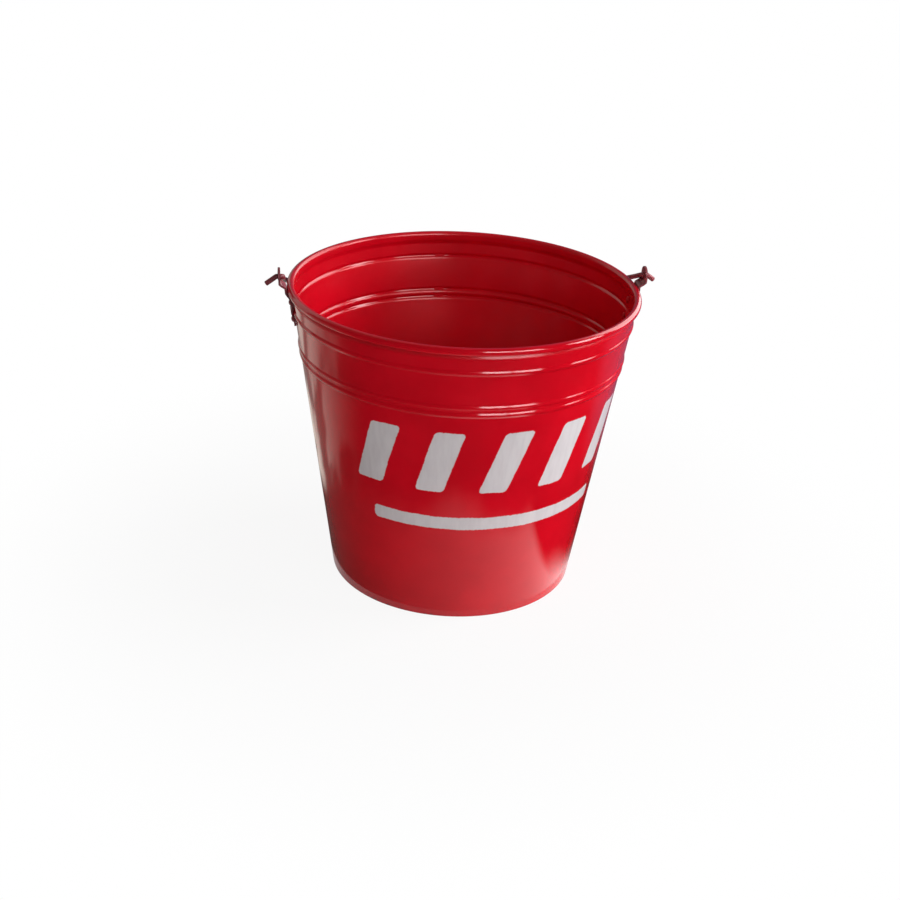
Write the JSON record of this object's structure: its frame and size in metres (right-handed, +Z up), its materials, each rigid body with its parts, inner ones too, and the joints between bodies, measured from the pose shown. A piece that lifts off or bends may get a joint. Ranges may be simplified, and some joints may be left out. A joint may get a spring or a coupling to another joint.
{
  "type": "fire bucket",
  "caption": "Red enamelled sheet steel fire bucket with a rolled rim, pressed beads, riveted ears and a folding wire bail.",
  "frame": {"origin": "middle of the foot, on the floor that the bucket stands on", "axes": "+Z up, +X through the right ear as seen from the front, +Y towards the back, where the bail rests"},
  "size_m": [0.3128, 0.28, 0.26],
  "materials": {
    "enamel_red": "glossy",
    "ear_brown": "satin",
    "bare_steel": "satin"
  },
  "bodies": {
    "bucket": {"body_wall": "enamel_red", "rim_wire": "bare_steel", "bottom_pan": "enamel_red", "ear_left": "ear_brown", "ear_right": "ear_brown", "rivet_left_upper": "ear_brown", "rivet_left_lower": "ear_brown", "rivet_right_upper": "ear_brown", "rivet_right_lower": "ear_brown"},
    "bail": {"bail": "ear_brown"}
  },
  "joints": [
    {"name": "bail_swing", "type": "hinge", "parent": "bucket", "child": "bail", "pos_m": [0, 0, 0.253], "axis": [1, 0, 0], "range_deg": [0, 227.3]}
  ]
}
